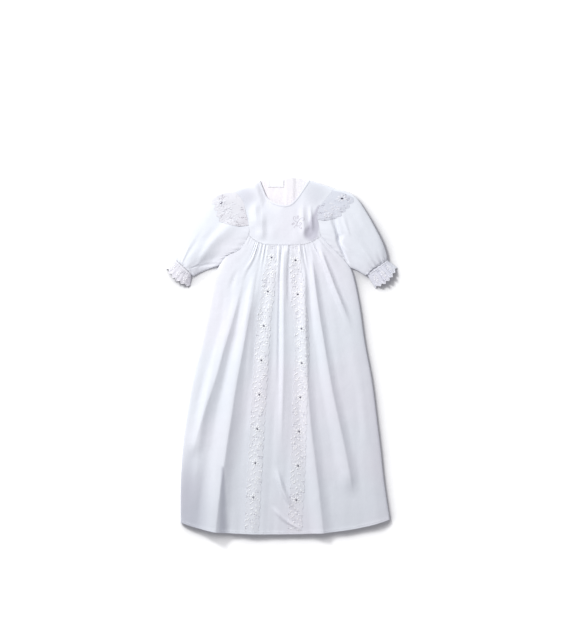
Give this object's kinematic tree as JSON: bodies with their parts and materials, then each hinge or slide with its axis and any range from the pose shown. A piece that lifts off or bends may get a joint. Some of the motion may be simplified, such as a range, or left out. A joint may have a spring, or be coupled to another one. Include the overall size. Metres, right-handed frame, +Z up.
{
  "type": "christening gown",
  "caption": "Baby's long white christening gown laid flat: smooth yoke, gathered skirt with lace bands, puffed sleeves with frilled cuffs, shoulder frills.",
  "frame": {"origin": "middle of the gown's outline, on the surface it lies on", "axes": "+Y from the hem to the neck, +X to the right of the gown seen from above, +Z up out of its front"},
  "size_m": [0.5229, 0.7999, 0.0262],
  "materials": {
    "batiste": "fine white cotton batiste, matt with a faint sheen",
    "lace": "white embroidered cotton lace",
    "label": "plain white woven tape"
  },
  "bodies": {
    "root": {"skirt_front": "batiste", "skirt_back": "batiste", "yoke_front": "batiste", "yoke_back_left": "batiste", "yoke_back_right": "batiste", "neck_binding": "batiste", "sleeve_left": "batiste", "sleeve_right": "batiste", "label": "label", "lace_band_left": "lace", "lace_band_right": "lace", "cuff_frill_left": "lace", "cuff_frill_right": "lace", "shoulder_frill_left": "lace", "shoulder_frill_right": "lace"}
  },
  "joints": []
}
